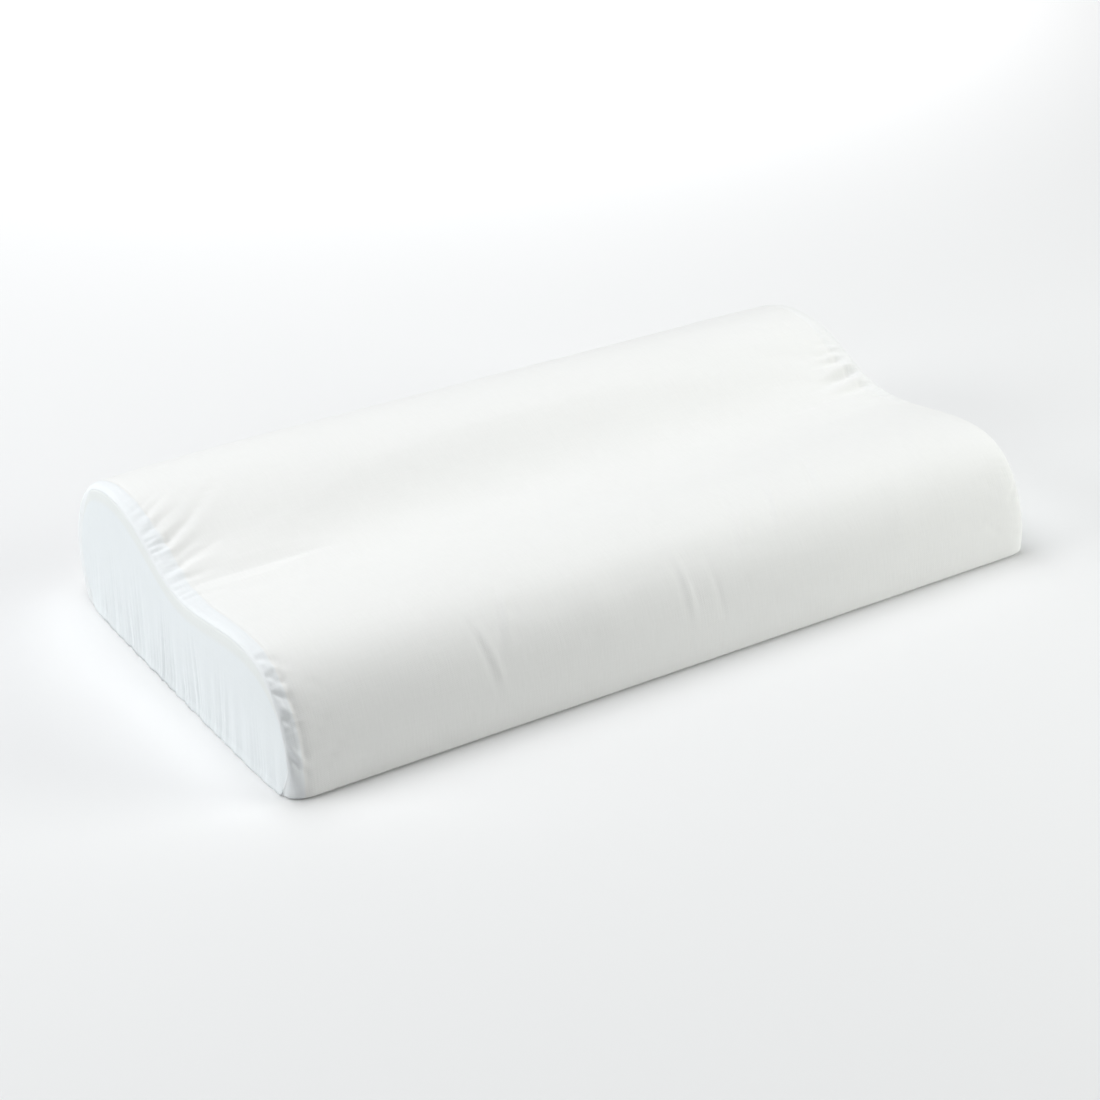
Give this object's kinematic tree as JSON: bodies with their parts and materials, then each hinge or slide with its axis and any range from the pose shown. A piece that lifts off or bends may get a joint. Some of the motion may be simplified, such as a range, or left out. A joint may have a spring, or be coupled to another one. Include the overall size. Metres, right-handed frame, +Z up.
{
  "type": "cervical contour pillow",
  "caption": "Contour pillow with a high and a low lobe either side of a head dip, in a cover with a wave-shaped panel sewn over each end.",
  "frame": {"origin": "middle of the flat underside's bounding rectangle", "axes": "+X along the pillow, +Y from the low lobe towards the high lobe, +Z up"},
  "size_m": [0.508, 0.299, 0.0944],
  "materials": {
    "wrap_cotton": "plain woven white cotton, matt",
    "end_cotton": "plain woven white cotton, matt"
  },
  "bodies": {
    "root": {"pillow_body": "wrap_cotton", "end_panel_left": "end_cotton", "end_panel_right": "end_cotton"}
  },
  "joints": []
}
